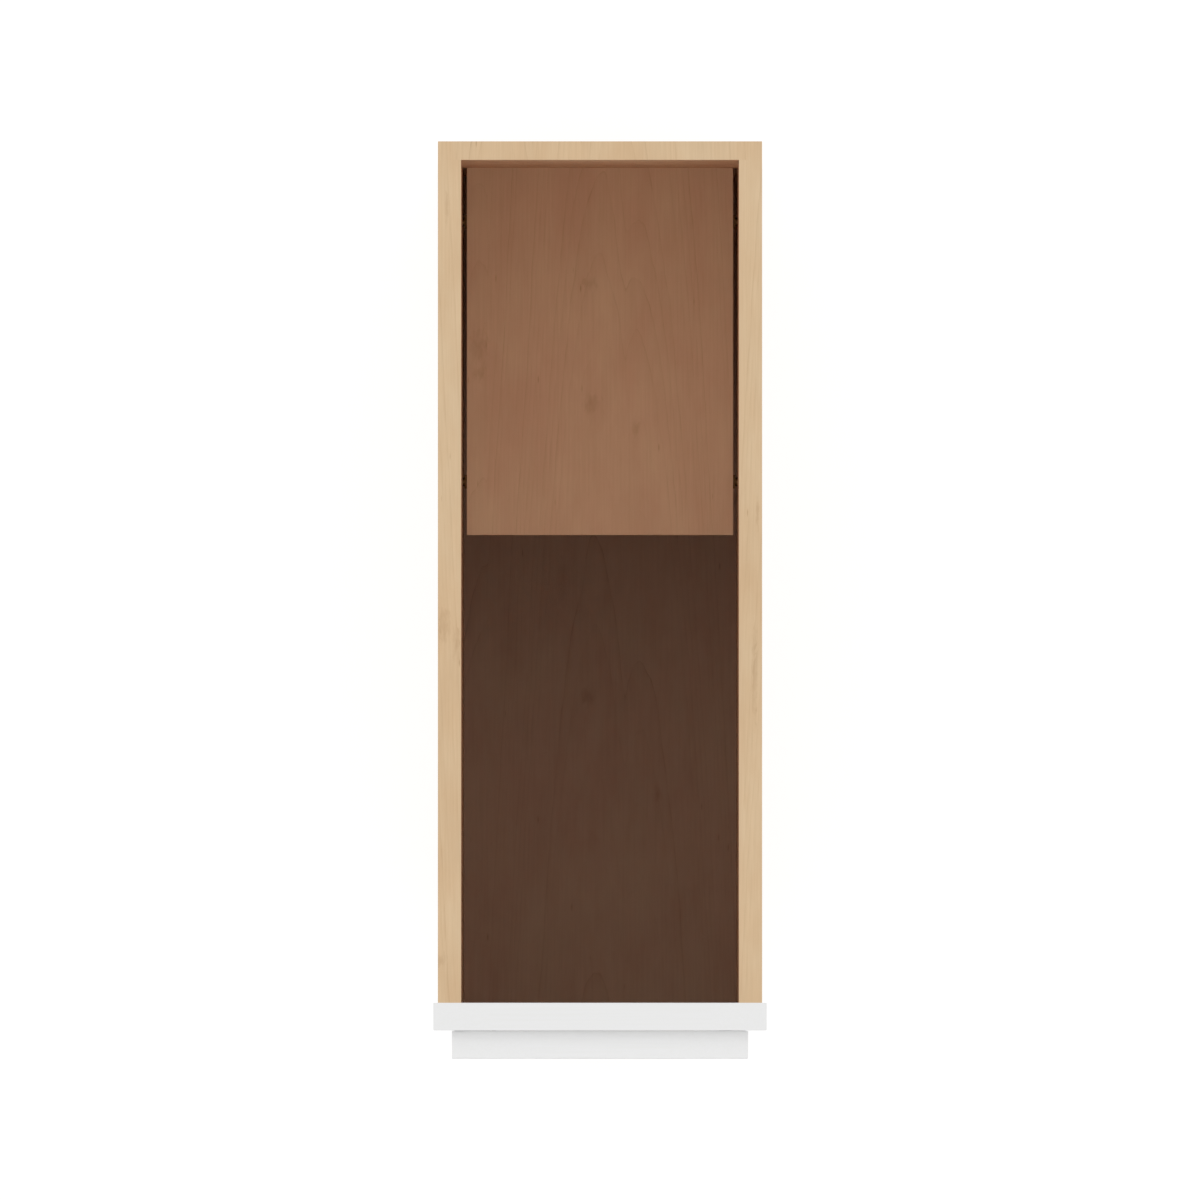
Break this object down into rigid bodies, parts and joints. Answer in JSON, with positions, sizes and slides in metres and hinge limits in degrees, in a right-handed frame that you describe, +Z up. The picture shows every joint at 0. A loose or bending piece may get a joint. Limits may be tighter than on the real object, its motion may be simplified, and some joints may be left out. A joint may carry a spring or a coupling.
{
  "type": "kitchen base cabinet",
  "caption": "Narrow open-top kitchen base cabinet: maple plywood box with a half-depth shelf, white face frame and one hinged white framed door, toe recess below.",
  "frame": {"origin": "on the ground under the middle of the cabinet's outer box", "axes": "+Z up, -Y toward the person in front of the door, +X to that person's right"},
  "size_m": [0.2286, 0.6288, 0.8763],
  "materials": {
    "maple_ply": "clear satin on maple veneered plywood",
    "maple_edge": "clear satin maple edge veneer",
    "toe_maple": "unfinished maple veneered plywood",
    "pine_block": "sawn softwood",
    "white_lacquer_frame": "satin white lacquer on hardwood",
    "white_lacquer_door": "satin white lacquer on hardwood",
    "beech_dowel": "plain turned beech",
    "pin_steel": "bronze plated",
    "screw_steel": "zinc plated",
    "nickel_steel": "nickel plated",
    "pivot_steel": "bright steel",
    "clear_bumper": "clear soft plastic"
  },
  "bodies": {
    "cabinet": {"left_side": "maple_ply", "right_side": "maple_ply", "back_panel": "maple_ply", "floor_panel": "maple_ply", "shelf": "maple_ply", "shelf_edge_band": "maple_edge", "toe_kick": "toe_maple", "toe_kick_blocks": "pine_block", "frame_left_stile": "white_lacquer_frame", "frame_right_stile": "white_lacquer_frame", "frame_top_rail": "white_lacquer_frame", "frame_bottom_rail": "white_lacquer_frame", "frame_to_box_dowels": "beech_dowel", "frame_rail_dowels": "beech_dowel", "shelf_pins": "pin_steel", "back_panel_screws": "screw_steel", "floor_panel_screws": "screw_steel", "hinge_plate_screws": "screw_steel", "hinge_arm_screws": "screw_steel", "hinge_plate_lower": "nickel_steel", "hinge_plate_upper": "nickel_steel", "hinge_arm_lower": "nickel_steel", "hinge_arm_upper": "nickel_steel"},
    "door": {"door_hinge_stile": "white_lacquer_door", "door_latch_stile": "white_lacquer_door", "door_top_rail": "white_lacquer_door", "door_bottom_rail": "white_lacquer_door", "door_panel": "white_lacquer_door", "door_bumpers": "clear_bumper", "hinge_cup_lower": "nickel_steel", "hinge_cup_upper": "nickel_steel", "hinge_pin_lower": "pivot_steel", "hinge_pin_upper": "pivot_steel", "hinge_spring_lower": "pivot_steel", "hinge_spring_upper": "pivot_steel", "hinge_cup_screws": "screw_steel"}
  },
  "joints": [
    {"name": "door_swing", "type": "hinge", "parent": "cabinet", "child": "door", "pos_m": [-0.0958, -0.3039, 0.4953], "axis": [0, 0, -1], "range_deg": [0, 105]}
  ]
}
